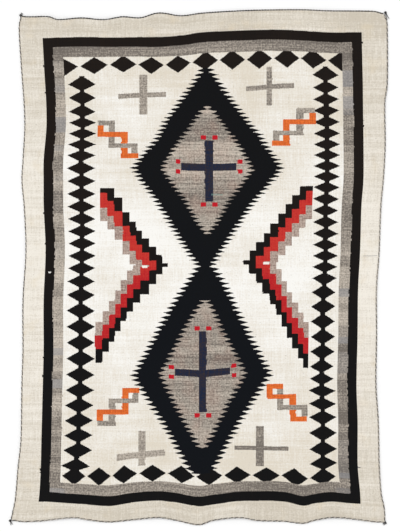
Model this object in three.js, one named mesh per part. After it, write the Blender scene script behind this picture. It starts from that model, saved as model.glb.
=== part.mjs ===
// A Navajo blanket lying flat: one weft-faced cloth, the four twined cords that edge it and the
// small knots that tie those cords off at its corners.
// Millimetres. X runs along the wefts, Y along the warps and Z up from the surface below.
// The origin is the middle of the cloth's underside.
import * as THREE from "three";

// The cloth as it stood square on its loom
const CLOTH_WIDTH = 1281;
const CLOTH_LENGTH = 1807;
const CLOTH_THICKNESS = 3;
const CELLS_ACROSS = 36;
const CELLS_ALONG = 50;

// How far into the cloth an uneven edge pulls the weave, and how far in its ripples run out
const SIDE_PULL_DEPTH = 420;
const END_PULL_DEPTH = 300;
const SIDE_RIPPLE_DEPTH = 130;
const END_RIPPLE_DEPTH = 180;
const CORNER_DEPTH = 40;

// The twined edge cords
const CORD_DIAMETER = 4.4;
const CORD_SIDES = 8;
const CORD_END_SETBACK = 1.5;

// The corner knots, each tied in a single ply. A knot turns twice round its middle while it
// swings in and out at the lobe rate, and its opening is an angle in radians.
const PLY_DIAMETER = 2.2;
const PLY_SIDES = 6;
const KNOT_RADIUS = 3;
const KNOT_TURNS = 2;
const KNOT_LOBE_RATE = 1.5;
const KNOT_OPENING = 0.38;
const KNOT_POINTS = 18;
const KNOT_STEPS = 40;
const TAIL_SPREAD = 1.3;

// What keeps two touching pieces apart
const SEAT_GAP = 0.3;

// Edge tables. A row is one place along an edge: "out" is how far the edge strays outwards from
// the square cloth there, and "lift" is how high a ripple holds it off the surface.
const LEFT_SIDE = [
  { at: -907, out: 51, lift: 0 },
  { at: -857, out: 31, lift: 0 },
  { at: -814, out: 25, lift: 0 },
  { at: -727, out: 18, lift: 1 },
  { at: -626, out: 7, lift: 2.5 },
  { at: -425, out: 4, lift: 0 },
  { at: -302, out: 0, lift: 1.5 },
  { at: -122, out: 0, lift: 0 },
  { at: 58, out: -11, lift: 3 },
  { at: 220, out: -4, lift: 0 },
  { at: 310, out: 4, lift: 0 },
  { at: 381, out: 0, lift: 0.5 },
  { at: 525, out: -7, lift: 3 },
  { at: 742, out: 7, lift: 0 },
  { at: 870, out: 14, lift: 0 },
  { at: 907, out: 10, lift: 1 },
];
const RIGHT_SIDE = [
  { at: -907, out: 20, lift: 0 },
  { at: -857, out: 14, lift: 0 },
  { at: -814, out: 4, lift: 1 },
  { at: -713, out: -4, lift: 2.5 },
  { at: -554, out: -7, lift: 0 },
  { at: -425, out: -16, lift: 3 },
  { at: -252, out: -13, lift: 0 },
  { at: -79, out: -14, lift: 3 },
  { at: 50, out: -4, lift: 0 },
  { at: 220, out: 2, lift: 2 },
  { at: 310, out: 11, lift: 0 },
  { at: 440, out: 18, lift: 0 },
  { at: 590, out: 16, lift: 2.5 },
  { at: 655, out: 25, lift: 1 },
  { at: 860, out: 25, lift: 0 },
  { at: 907, out: 22, lift: 0 },
];
const BOTTOM_END = [
  { at: -644, out: 14, lift: 0 },
  { at: -560, out: 9, lift: 2 },
  { at: -446, out: -4, lift: 6.5 },
  { at: -400, out: 4, lift: 4 },
  { at: -330, out: 13, lift: 0 },
  { at: -250, out: 5, lift: 2 },
  { at: -155, out: -4, lift: 6 },
  { at: -90, out: 7, lift: 2 },
  { at: -10, out: 23, lift: 0 },
  { at: 40, out: 7, lift: 2.5 },
  { at: 137, out: -4, lift: 6.5 },
  { at: 200, out: 7, lift: 3 },
  { at: 299, out: 11, lift: 0 },
  { at: 364, out: 18, lift: 0 },
  { at: 400, out: 7, lift: 2.5 },
  { at: 461, out: -4, lift: 6 },
  { at: 526, out: 0, lift: 4 },
  { at: 644, out: 18, lift: 0 },
];
const TOP_END = [
  { at: -644, out: 0, lift: 0 },
  { at: -608, out: -7, lift: 1.5 },
  { at: -544, out: -7, lift: 3.5 },
  { at: -511, out: -18, lift: 6 },
  { at: -430, out: -11, lift: 0.5 },
  { at: -349, out: -18, lift: 5.5 },
  { at: -284, out: -7, lift: 1 },
  { at: -220, out: -11, lift: 4 },
  { at: -155, out: 7, lift: 0 },
  { at: -74, out: -4, lift: 4.5 },
  { at: 0, out: 6, lift: 1 },
  { at: 137, out: 14, lift: 3 },
  { at: 250, out: 18, lift: 0 },
  { at: 364, out: 18, lift: 2 },
  { at: 450, out: 14, lift: 3.5 },
  { at: 560, out: 14, lift: 0 },
  { at: 644, out: 12, lift: 0 },
];

// Corners. "side" and "end" say which corner it is, "drawnIn" is how far its point is rounded off
// along the diagonal, "knotOut" and "knotUp" place the knot's middle from that point, "turn" is
// where its tails point, in degrees from +X, and "tail" is their length.
const CORNERS = [
  { name: "top_left", side: -1, end: 1, drawnIn: 5, knotOut: -3.2, knotUp: 4.7, turn: 62, tail: 5 },
  { name: "top_right", side: 1, end: 1, drawnIn: 10, knotOut: 5.8, knotUp: 5.2, turn: -66, tail: 17 },
  { name: "bottom_left", side: -1, end: -1, drawnIn: 9, knotOut: -4.6, knotUp: -3.4, turn: -72, tail: 10 },
  { name: "bottom_right", side: 1, end: -1, drawnIn: 4, knotOut: 3.4, knotUp: -4.2, turn: -140, tail: 5 },
];

// Undyed wool: the ivory of the cloth's border, the mixed brown of a charcoal ply twined with a
// cream one, and plain charcoal
const WOOL_IVORY = 0xdcd3c2;
const WOOL_BROWN = 0x6a6256;
const WOOL_CHARCOAL = 0x3a3632;

const wool = (color) => new THREE.MeshStandardMaterial({ color, roughness: 0.95, metalness: 0 });

// The slope of a column at a row, from the rows on both sides of it.
function slopeAt(rows, column, i) {
  const before = rows[Math.max(i - 1, 0)];
  const after = rows[Math.min(i + 1, rows.length - 1)];
  return (after[column] - before[column]) / (after.at - before.at);
}

// A column's value anywhere along the edge, on a smooth curve through its rows.
function along(rows, column, at) {
  const last = rows.findIndex((row) => row.at >= at);
  const i = last < 0 ? rows.length - 2 : Math.max(last - 1, 0);
  const span = rows[i + 1].at - rows[i].at;
  const t = THREE.MathUtils.clamp((at - rows[i].at) / span, 0, 1);
  const rise = t * t * (3 - 2 * t);
  const leaving = slopeAt(rows, column, i) * t * (1 - t) ** 2;
  const arriving = slopeAt(rows, column, i + 1) * t * t * (1 - t);
  return THREE.MathUtils.lerp(rows[i][column], rows[i + 1][column], rise) + (leaving - arriving) * span;
}

// 1 at an edge, falling smoothly to 0 at a depth into the cloth.
const fade = (distance, depth) => 1 - THREE.MathUtils.smoothstep(distance, 0, depth);

// Where a place on the square cloth comes to lie, with z the underside's height.
function layDown(across, up) {
  const fromLeft = CLOTH_WIDTH / 2 + across;
  const fromRight = CLOTH_WIDTH / 2 - across;
  const fromBottom = CLOTH_LENGTH / 2 + up;
  const fromTop = CLOTH_LENGTH / 2 - up;
  const place = new THREE.Vector3(across, up, 0);
  place.x -= along(LEFT_SIDE, "out", up) * fade(fromLeft, SIDE_PULL_DEPTH);
  place.x += along(RIGHT_SIDE, "out", up) * fade(fromRight, SIDE_PULL_DEPTH);
  place.y -= along(BOTTOM_END, "out", across) * fade(fromBottom, END_PULL_DEPTH);
  place.y += along(TOP_END, "out", across) * fade(fromTop, END_PULL_DEPTH);
  place.z += along(LEFT_SIDE, "lift", up) * fade(fromLeft, SIDE_RIPPLE_DEPTH);
  place.z += along(RIGHT_SIDE, "lift", up) * fade(fromRight, SIDE_RIPPLE_DEPTH);
  place.z += along(BOTTOM_END, "lift", across) * fade(fromBottom, END_RIPPLE_DEPTH);
  place.z += along(TOP_END, "lift", across) * fade(fromTop, END_RIPPLE_DEPTH);
  place.z = Math.max(place.z, 0);
  for (const { side, end, drawnIn } of CORNERS) {
    const toCorner = Math.hypot(side * (CLOTH_WIDTH / 2) - across, end * (CLOTH_LENGTH / 2) - up);
    const pull = drawnIn * Math.SQRT1_2 * fade(toCorner, CORNER_DEPTH);
    place.x -= side * pull;
    place.y -= end * pull;
  }
  return place;
}

// The cloth is a thin square-edged slab whose every point is laid down where it belongs.
function wovenCloth() {
  const slab = new THREE.BoxGeometry(
    CLOTH_WIDTH, CLOTH_LENGTH, CLOTH_THICKNESS, CELLS_ACROSS, CELLS_ALONG, 1,
  );
  const points = slab.getAttribute("position");
  for (let i = 0; i < points.count; i++) {
    const place = layDown(points.getX(i), points.getY(i));
    points.setXYZ(i, place.x, place.y, place.z + CLOTH_THICKNESS / 2 + points.getZ(i));
  }
  return slab;
}

// A curve through stations, on which a tube's rings fall exactly on the stations.
class StationCurve extends THREE.Curve {
  constructor(stations) {
    super();
    this.stations = stations;
  }
  getPoint(t, target = new THREE.Vector3()) {
    const place = t * (this.stations.length - 1);
    const i = Math.min(Math.floor(place), this.stations.length - 2);
    return target.lerpVectors(this.stations[i], this.stations[i + 1], place - i);
  }
  getPointAt(t, target) {
    return this.getPoint(t, target);
  }
  getTangentAt(t, target) {
    return this.getTangent(t, target);
  }
}

// A closed tube of a regular section, with one ring for each step along its route.
function tube(route, diameter, sides, steps) {
  const rim = [];
  for (let i = 0; i < sides; i++) {
    const angle = (i / sides) * 2 * Math.PI;
    rim.push(new THREE.Vector2(Math.cos(angle), Math.sin(angle)).multiplyScalar(diameter / 2));
  }
  return new THREE.ExtrudeGeometry(new THREE.Shape(rim), { extrudePath: route, steps });
}

// A cord lies along one edge, from corner to corner and anticlockwise round the cloth, with its
// ends set back to leave room for the knots.
function edgeCord(fromCorner, toCorner, cells) {
  const edge = [];
  for (let i = 0; i <= cells; i++) {
    const across = THREE.MathUtils.lerp(fromCorner.side, toCorner.side, i / cells) * (CLOTH_WIDTH / 2);
    const up = THREE.MathUtils.lerp(fromCorner.end, toCorner.end, i / cells) * (CLOTH_LENGTH / 2);
    edge.push(layDown(across, up));
  }
  const outwards = CORD_DIAMETER / 2 + SEAT_GAP;
  const stations = edge.map((point, i) => {
    const before = edge[Math.max(i - 1, 0)];
    const after = edge[Math.min(i + 1, cells)];
    const out = new THREE.Vector3(after.y - before.y, before.x - after.x, 0).normalize();
    return point.clone().addScaledVector(out, outwards).setZ(point.z + CORD_DIAMETER / 2);
  });
  const setBack = (end, next) => end.lerp(next, CORD_END_SETBACK / end.distanceTo(next));
  setBack(stations[0], stations[1]);
  setBack(stations[cells], stations[cells - 1]);
  return tube(new StationCurve(stations), CORD_DIAMETER, CORD_SIDES, cells);
}

// An overhand knot: a three-lobed knot opened at one lobe, whose two tails run out along +X and
// droop to the surface.
function cornerKnot(tail) {
  const route = [];
  const fullTurn = KNOT_TURNS * 2 * Math.PI;
  for (let i = 0; i <= KNOT_POINTS; i++) {
    const angle = THREE.MathUtils.lerp(KNOT_OPENING, fullTurn - KNOT_OPENING, i / KNOT_POINTS);
    const lobe = KNOT_LOBE_RATE * angle;
    const reach = KNOT_RADIUS * (1 + Math.cos(lobe) / 2);
    const height = (KNOT_RADIUS / 2) * Math.sin(lobe);
    route.push(new THREE.Vector3(reach * Math.cos(angle), reach * Math.sin(angle), height));
  }
  const tip = (end, sign) =>
    new THREE.Vector3(end.x + tail, end.y + sign * TAIL_SPREAD, -KNOT_RADIUS / 2);
  const bend = (end, sign) =>
    new THREE.Vector3(end.x + PLY_DIAMETER, end.y - sign * (TAIL_SPREAD / 4), end.z / 2);
  const first = route[0];
  const last = route[KNOT_POINTS];
  route.unshift(tip(first, 1), bend(first, 1));
  route.push(bend(last, -1), tip(last, -1));
  return tube(new THREE.CatmullRomCurve3(route), PLY_DIAMETER, PLY_SIDES, KNOT_STEPS);
}

const blanket = new THREE.Group();

function add(name, geometry, colour) {
  const mesh = new THREE.Mesh(geometry, wool(colour));
  mesh.name = name;
  blanket.add(mesh);
  return mesh;
}

add("woven_cloth", wovenCloth(), WOOL_IVORY);

const [topLeft, topRight, bottomLeft, bottomRight] = CORNERS;
add("side_cord_left", edgeCord(topLeft, bottomLeft, CELLS_ALONG), WOOL_BROWN);
add("end_cord_bottom", edgeCord(bottomLeft, bottomRight, CELLS_ACROSS), WOOL_BROWN);
add("side_cord_right", edgeCord(bottomRight, topRight, CELLS_ALONG), WOOL_BROWN);
add("end_cord_top", edgeCord(topRight, topLeft, CELLS_ACROSS), WOOL_CHARCOAL);

for (const { name, side, end, knotOut, knotUp, turn, tail } of CORNERS) {
  const knot = add(`corner_knot_${name}`, cornerKnot(tail), WOOL_CHARCOAL);
  const corner = layDown(side * (CLOTH_WIDTH / 2), end * (CLOTH_LENGTH / 2));
  const seat = (KNOT_RADIUS + PLY_DIAMETER) / 2;
  knot.position.set(corner.x + knotOut, corner.y + knotUp, corner.z + seat);
  knot.rotation.z = THREE.MathUtils.degToRad(turn);
}

export default blanket;
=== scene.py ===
"""A Navajo blanket laid flat, with its twined edge cords and the knots that tie them off.

The model is laid out as an add-on: property groups hold the sizes and colours, and one operator
makes each group of pieces. Objects are in metres, with X along the wefts, Y along the warps and
the origin at the middle of the cloth's underside. The tables are in millimetres.
"""
import math
import random
from collections import namedtuple
from types import SimpleNamespace

import bmesh
import bpy
from bpy.props import FloatProperty, FloatVectorProperty, IntProperty, PointerProperty
from mathutils import Matrix, Vector, noise


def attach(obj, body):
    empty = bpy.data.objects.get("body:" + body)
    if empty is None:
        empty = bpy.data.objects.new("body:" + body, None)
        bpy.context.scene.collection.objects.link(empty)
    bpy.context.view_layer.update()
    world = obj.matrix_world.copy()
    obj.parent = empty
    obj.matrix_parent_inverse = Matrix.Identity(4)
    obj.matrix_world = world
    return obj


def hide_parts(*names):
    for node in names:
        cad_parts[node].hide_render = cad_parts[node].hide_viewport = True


bl_info = {
    "name": "Navajo Blanket",
    "version": (1, 0, 0),
    "blender": (4, 5, 0),
    "location": "3D View > Sidebar > Blanket",
    "description": "Weaves a double diamond Navajo blanket with twined edge cords",
    "category": "Add Mesh",
}

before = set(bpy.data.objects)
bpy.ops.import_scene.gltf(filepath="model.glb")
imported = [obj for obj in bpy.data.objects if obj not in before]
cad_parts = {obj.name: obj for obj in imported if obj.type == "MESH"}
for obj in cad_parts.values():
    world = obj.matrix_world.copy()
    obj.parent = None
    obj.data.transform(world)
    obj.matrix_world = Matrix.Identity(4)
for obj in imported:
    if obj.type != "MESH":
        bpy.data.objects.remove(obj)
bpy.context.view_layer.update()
BODY = "root"
MM = 0.001


def table(kind, *rows):
    """Rows of one kind, each from its plain values."""
    return tuple(kind(*row) for row in rows)


# Edge tables. A row is one place along an edge. "out" is how far the edge strays outwards from
# the square cloth, "band" how far the black band inside it strays the same way, "lift" how high
# a ripple holds the edge up, and "dark" how dark its cord is, from 0 to 1.
EdgeRow = namedtuple("EdgeRow", "at out band lift dark")
LEFT_SIDE = table(
    EdgeRow,
    (-907, 51, 20, 0, 0.6), (-857, 31, 20, 0, 0.6), (-814, 25, 16, 0, 0.45),
    (-727, 18, 12, 1, 0.5), (-626, 7, 10, 2.5, 0.6), (-425, 4, 5, 0, 0.45),
    (-302, 0, 2, 1.5, 0.45), (-122, 0, 2, 0, 1), (58, -11, -5, 3, 0.6), (220, -4, 2, 0, 0.4),
    (310, 4, 2, 0, 0.4), (381, 0, 2, 0.5, 0.5), (525, -7, -9, 3, 0.6), (742, 7, 1, 0, 0.6),
    (870, 14, 7, 0, 0.7), (907, 10, 7, 1, 0.8),
)
RIGHT_SIDE = table(
    EdgeRow,
    (-907, 20, 6, 0, 0.45), (-857, 14, 5, 0, 0.5), (-814, 4, 4, 1, 0.35), (-713, -4, -5, 2.5, 0.3),
    (-554, -7, -5, 0, 0.45), (-425, -16, -9, 3, 0.45), (-252, -13, -5, 0, 0.6),
    (-79, -14, -3, 3, 0.2), (50, -4, 4, 0, 0.35), (220, 2, 9, 2, 0.3), (310, 11, 16, 0, 0.3),
    (440, 18, 16, 0, 0.45), (590, 16, 14, 2.5, 0.45), (655, 25, 13, 1, 0.8), (860, 25, 8, 0, 0.5),
    (907, 22, 8, 0, 0.6),
)
BOTTOM_END = table(
    EdgeRow,
    (-644, 14, -3, 0, 0.65), (-560, 9, -4, 2, 0.35), (-446, -4, 4, 6.5, 0.3), (-400, 4, 8, 4, 0.5),
    (-330, 13, 13, 0, 0.75), (-250, 5, 0, 2, 0.6), (-155, -4, -7, 6, 0.7), (-90, 7, 0, 2, 0.75),
    (-10, 23, 14, 0, 0.9), (40, 7, 7, 2.5, 0.8), (137, -4, -6, 6.5, 0.55), (200, 7, -7, 3, 0.65),
    (299, 11, -4, 0, 0.65), (364, 18, 11, 0, 0.65), (400, 7, 4, 2.5, 0.7), (461, -4, -4, 6, 0.75),
    (526, 0, 2, 4, 0.5), (644, 18, 8, 0, 0.35),
)
TOP_END = table(
    EdgeRow,
    (-644, 0, -7, 0, 0.8), (-608, -7, -7, 1.5, 0.8), (-544, -7, -7, 3.5, 0.9),
    (-511, -18, -5, 6, 0.8), (-430, -11, -3, 0.5, 0.95), (-349, -18, -5, 5.5, 0.85),
    (-284, -7, -5, 1, 1), (-220, -11, -5, 4, 0.9), (-155, 7, -4, 0, 0.9), (-74, -4, 2, 4.5, 0.85),
    (0, 6, 13, 1, 0.8), (137, 14, 20, 3, 1), (250, 18, 23, 0, 0.5), (364, 18, 19, 2, 0.5),
    (450, 14, 13, 3.5, 0.75), (560, 14, 13, 0, 0.75), (644, 12, 13, 0, 0.7),
)

# Corners. "side" and "end" say which corner it is, "drawn_in" is how far its point is rounded
# off along the diagonal, "knot_out" and "knot_up" place the knot's middle from that point,
# "turn" is where its tails point, in degrees from +X, and "tail" is their length.
Corner = namedtuple("Corner", "name side end drawn_in knot_out knot_up turn tail")
TOP_LEFT = Corner("top_left", -1, 1, 5, -3.2, 4.7, 62, 5)
TOP_RIGHT = Corner("top_right", 1, 1, 10, 5.8, 5.2, -66, 17)
BOTTOM_LEFT = Corner("bottom_left", -1, -1, 9, -4.6, -3.4, -72, 10)
BOTTOM_RIGHT = Corner("bottom_right", 1, -1, 4, 3.4, -4.2, -140, 5)
CORNERS = (TOP_LEFT, TOP_RIGHT, BOTTOM_LEFT, BOTTOM_RIGHT)

# The edges, anticlockwise round the cloth
Edge = namedtuple("Edge", "name rows start finish slot")
EDGES = (
    Edge("side_cord_left", LEFT_SIDE, TOP_LEFT, BOTTOM_LEFT, "twined_cord"),
    Edge("end_cord_bottom", BOTTOM_END, BOTTOM_LEFT, BOTTOM_RIGHT, "twined_cord"),
    Edge("side_cord_right", RIGHT_SIDE, BOTTOM_RIGHT, TOP_RIGHT, "twined_cord"),
    Edge("end_cord_top", TOP_END, TOP_RIGHT, TOP_LEFT, "twined_cord_dark"),
)

# How deep an uneven edge pulls the weave and a ripple runs in, and how deep the plain border is
SIDE_PULL_DEPTH = 420
END_PULL_DEPTH = 300
SIDE_RIPPLE_DEPTH = 130
END_RIPPLE_DEPTH = 180
CORNER_DEPTH = 40
SIDE_BORDER = 77.5
TOP_BORDER = 77.5
BOTTOM_BORDER = 57.5


# Diamonds counted along the edge rows and columns, whose spacing is uneven. "at" runs along
# the row or column, and "middle" is where its middle line lies there.
Count = namedtuple("Count", "at diamonds middle")
LEFT_CHAIN = table(
    Count,
    (687, -0.5, -432), (656, 0, -434), (556, 2, -435), (399, 6, -432), (216, 10, -431),
    (-5, 15, -434), (-101, 17, -433), (-216, 19, -433), (-389, 22, -434), (-554, 25, -436),
    (-660, 27, -438), (-716, 28, -445), (-735, 28.5, -448),
)
RIGHT_CHAIN = table(
    Count,
    (714, -0.5, 437), (685, 0, 437), (478, 5, 440), (285, 10, 439), (119, 14, 442), (-41, 18, 443),
    (-144, 20, 440), (-359, 24, 438), (-446, 26, 439), (-542, 28, 439), (-656, 30, 441),
    (-707, 31, 442), (-732, 31.5, 441),
)
TOP_ROW = table(
    Count,
    (-494, 0, 720), (-386, 1, 726), (-281, 2, 732), (-181, 3, 726), (-85, 4, 729), (14, 5, 733),
    (110, 6, 733), (208, 7, 733), (306, 8, 736), (395, 9, 736), (491, 10, 731),
)
BOTTOM_ROW = table(
    Count,
    (-493, -0.5, -752), (-448, 0, -751), (-365, 1, -748), (-279, 2, -745), (-177, 3, -747),
    (-72, 4, -745), (28, 5, -748), (127, 6, -753), (233, 7, -756), (336, 8, -754), (439, 9, -757),
    (487, 9.5, -757),
)

# Half-widths of the serrated diamonds and their grey hearts to the tips of their teeth
Width = namedtuple("Width", "at half")
BLACK_DIAMONDS = table(
    Width,
    (-737, 50), (-698, 77), (-556, 158), (-412, 250), (-389, 262), (-340, 237), (-124, 121),
    (-52, 79), (5, 43), (20, 54), (92, 100), (236, 193), (308, 252), (356, 282), (452, 212),
    (524, 164), (596, 111), (712, 26),
)
GREY_HEARTS = table(
    Width,
    (-650, 22), (-628, 34), (-556, 75), (-484, 114), (-412, 152), (-385, 165), (-340, 140),
    (-304, 122), (-232, 83), (-160, 46), (-124, 22), (121, 17), (164, 51), (236, 90), (308, 145),
    (349, 173), (380, 160), (452, 113), (524, 59), (560, 34), (576, 13),
)
Middle = namedtuple("Middle", "at across")
DIAMOND_MIDDLES = table(
    Middle,
    (-737, -2), (-556, -2), (-412, -3), (-376, 3), (-160, 5), (-124, 8), (-52, 15), (-16, 15),
    (20, 10), (164, 10), (308, 17), (416, 23), (470, 28), (524, 18), (712, 16),
)
HEART_MIDDLES = table(
    Middle,
    (-650, 2), (-484, -1), (-340, 7), (-232, 5), (-124, 13), (121, 20), (576, 21),
)

# How pale the grey yarn of the hearts is at each height, from 0 to 1
Shade = namedtuple("Shade", "at pale")
HEART_SHADES = table(
    Shade,
    (-650, 0.7), (-550, 0.5), (-430, 0.35), (-370, 0.5), (-334, 0.15), (-300, 0.45), (-212, 0.3),
    (-126, 0.8), (126, 0.75), (187, 0.45), (263, 0.25), (313, 0.45), (324, 0.75), (394, 0.75),
    (448, 0.75), (455, 0.12), (504, 0.12), (511, 0.3), (547, 0.35), (553, 0.85),
)

# The same for the grey band down the two sides and across the ends
BAND_SHADES = table(
    Shade,
    (-800, 0.28), (-779, 0.3), (-620, 0.32), (-350, 0.46), (-65, 0.7), (240, 0.36), (590, 0.5),
    (730, 0.36), (756, 0.2), (800, 0.2),
)

# Crosses, from the place where the bars meet: the four reaches, the two half-thicknesses, how
# much the crossbar climbs to the right and bends up outwards for each millimetre, and how pale
# the wool is
Cross = namedtuple("Cross", "across up left right over under upright bar climb bend pale")
GREY_CROSSES = (
    Cross(-210, 616, 90, 82, 77, 70, 13.5, 9, 0.037, 0, 0.42),
    Cross(244, 643.5, 85.5, 84.5, 64, 65, 10, 8, 0.06, 0, 0.32),
    Cross(-215, -678, 89, 82, 87, 40, 12.5, 11.5, 0.09, 0, 0.48),
    Cross(209, -654, 91.5, 103.5, 80, 67, 15, 7.5, -0.015, 0, 0.14),
)
NAVY_CROSSES = (
    Cross(27, 355.5, 101, 99, 98.5, 122.5, 15.5, 13, 0, 0.04, 0.5),
    Cross(4, -385, 101, 99, 152, 139, 13.5, 12.5, 0.02, 0.08, 0.5),
)

# Stepped arms, named by their corner. A step starts at a distance out from the arm's tip and
# stands at a height from its middle line. "end" and "top" are where the arm is cut off, and the
# last three are its layers from outside in, by height.
Step = namedtuple("Step", "start height")
Arm = namedtuple("Arm", "steps end top black red grey")
STEPPED_ARMS = {
    TOP_LEFT: Arm(
        table(
            Step,
            (0, 7), (19, 37), (40, 66), (66, 95), (92, 123), (113, 155), (136, 190), (162, 243),
            (192, 280), (216, 310),
        ),
        243, 277, 50, 54, 48,
    ),
    TOP_RIGHT: Arm(
        table(
            Step,
            (0, 8), (23, 43), (46, 73), (74, 104), (96, 140), (126, 176), (150, 210), (174, 242),
            (200, 274), (222, 306),
        ),
        244, 274, 50, 51, 49,
    ),
    BOTTOM_LEFT: Arm(
        table(
            Step,
            (0, 7), (20, 33), (41, 68), (66, 105), (99, 135), (124, 167), (147, 201), (168, 238),
            (189, 276), (210, 313), (234, 352),
        ),
        260, 355, 50, 49, 49,
    ),
    BOTTOM_RIGHT: Arm(
        table(
            Step,
            (0, 8), (22, 41), (46, 74), (69, 112), (95, 151), (118, 189), (139, 232), (158, 272),
            (177, 310), (199, 346), (220, 380),
        ),
        238, 379, 53, 57, 55,
    ),
}

# The middles of the interlaced stepped lines, and their bars, measured from such a middle
# inwards to the cloth's long middle line and towards its short one
Place = namedtuple("Place", "across up")
INTERLACED = {
    TOP_LEFT: Place(303, 457),
    TOP_RIGHT: Place(328, 503),
    BOTTOM_LEFT: Place(299, 504.5),
    BOTTOM_RIGHT: Place(308, 489.5),
}
Bar = namedtuple("Bar", "outer inner far near")
BRIGHT_BARS = (Bar(-76, 36, -27, -9), Bar(-76, -53, -50, -9), Bar(13, 36, -27, 68))
BRIGHT_END_BAR = Bar(13, 75, 50, 68)
PALE_BARS = (Bar(-33, -10, -68, 30), Bar(-73, -10, -68, -50), Bar(51, 73, 14, 50))
PALE_BAR_ON_TOP = Bar(-33, 73, 14, 30)

# Small mends and stray threads: the middle, the two half-sizes and how strongly each one shows
Mark = namedtuple("Mark", "across up long tall tone strength")
MARKS = (
    Mark(608, 40, 27, 1.5, "navy", 0.35),
    Mark(-617, -669, 36, 2, "taupe", 0.45),
    Mark(-549, -21, 4, 2.5, "cream", 0.8),
    Mark(-24, -435, 3, 7, "taupe_dark", 0.8),
    Mark(56, 258, 20, 3, "teal", 0.5),
    Mark(568, -720, 7, 2, "navy", 0.7),
)


def seen_as(red, green, blue):
    """The scene-linear colour of a wool that a photograph shows in this 0 to 255 colour."""
    level = [value / 255 for value in (red, green, blue)]
    return tuple(v / 12.92 if v <= 0.04045 else ((v + 0.055) / 1.055) ** 2.4 for v in level)


def length(name, description, default):
    """A length that a user may change, in metres."""
    return FloatProperty(name=name, description=description, default=default, min=0, unit="LENGTH")


def count(name, description, default, least):
    """A whole number that a user may change."""
    return IntProperty(name=name, description=description, default=default, min=least)


def wool(name, description, *shown):
    """A wool's colour that a user may change, from what a photograph shows."""
    return FloatVectorProperty(
        name=name, description=description, default=seen_as(*shown), min=0, max=1, subtype="COLOR"
    )


def setting_names(group):
    """The names of a group's own properties."""
    return [name for name in group.bl_rna.properties.keys() if name not in ("name", "rna_type")]


def in_millimetres(group):
    """A group's lengths in millimetres, as the tables have theirs."""
    return SimpleNamespace(**{name: getattr(group, name) / MM for name in setting_names(group)})


class BlanketSizes(bpy.types.PropertyGroup):
    """The cloth, its cords and its knots."""

    cloth_width: length("Cloth width", "Across the cloth as it stood on the loom", 1.281)
    cloth_length: length("Cloth length", "Along the warps as they stood on the loom", 1.807)
    cloth_thickness: length("Cloth thickness", "Through the packed wefts", 0.003)
    cells_across: count("Cells across", "Mesh cells", 170, 8)
    cells_along: count("Cells along", "Mesh cells", 240, 8)
    cockle: length("Cockle", "How high the weave cockles inside its edges", 0.001)
    cockle_span: length("Cockle span", "From one cockle to the next", 0.14)
    cockle_margin: length("Cockle margin", "The strip along the edges without cockles", 0.06)
    warp_spacing: length("Warp spacing", "From one warp to the next", 0.0032)
    weft_rise: length("Weft rise", "What one weft adds to the cloth", 0.0017)
    cord_diameter: length("Cord diameter", "Over both plies", 0.0044)
    cord_gap: length("Cord gap", "Between the cloth's edge and its cord", 0.0001)
    cord_setback: length("Cord setback", "What a cord leaves free for the knots", 0.0015)
    cord_twist: length("Cord twist", "Along the cord in one full turn", 0.02)
    cord_rings: count("Cord rings", "Mesh rings a turn", 16, 6)
    ply_sides: count("Ply sides", "Mesh sides of a ply", 8, 4)
    knot_radius: length("Knot radius", "From a knot's middle to its cord", 0.003)
    knot_ply: length("Knot ply", "The diameter of the ply that is knotted", 0.0022)
    knot_fibres: count("Fibres", "Loose fibres a tail", 11, 0)
    fibre_share: FloatProperty(
        name="Fibre share", description="A frayed fibre to its tail", default=0.47, min=0
    )


class PatternSizes(bpy.types.PropertyGroup):
    """The woven pattern, measured on the loom from the cloth's middle."""

    band_side: length("Band side", "To the black band's outer line at each side", 0.567)
    band_top: length("Band top", "To the black band's outer line at the top", 0.8295)
    band_bottom: length("Band bottom", "To the black band's outer line at the bottom", 0.8485)
    black_width: length("Black band", "The black band's width", 0.0345)
    grey_width: length("Grey band", "The grey band's width", 0.037)
    chain_half: length("Chain half", "Half a column diamond's width", 0.0505)
    chain_slimming: length("Chain slimming", "What the right one's upper part lacks", 0.006)
    chain_neck: length("Chain neck", "Half the width between two of them", 0.0085)
    row_half_height: length("Row half-height", "Half a row diamond's height", 0.0315)
    tooth_length: length("Tooth length", "A tooth of the serrated diamonds", 0.031)
    inner_tooth_length: length("Inner tooth length", "A tooth round their grey hearts", 0.028)
    upper_tooth_pitch: length("Upper tooth pitch", "From tooth to tooth", 0.0151)
    lower_tooth_pitch: length("Lower tooth pitch", "From tooth to tooth", 0.0174)


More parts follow.
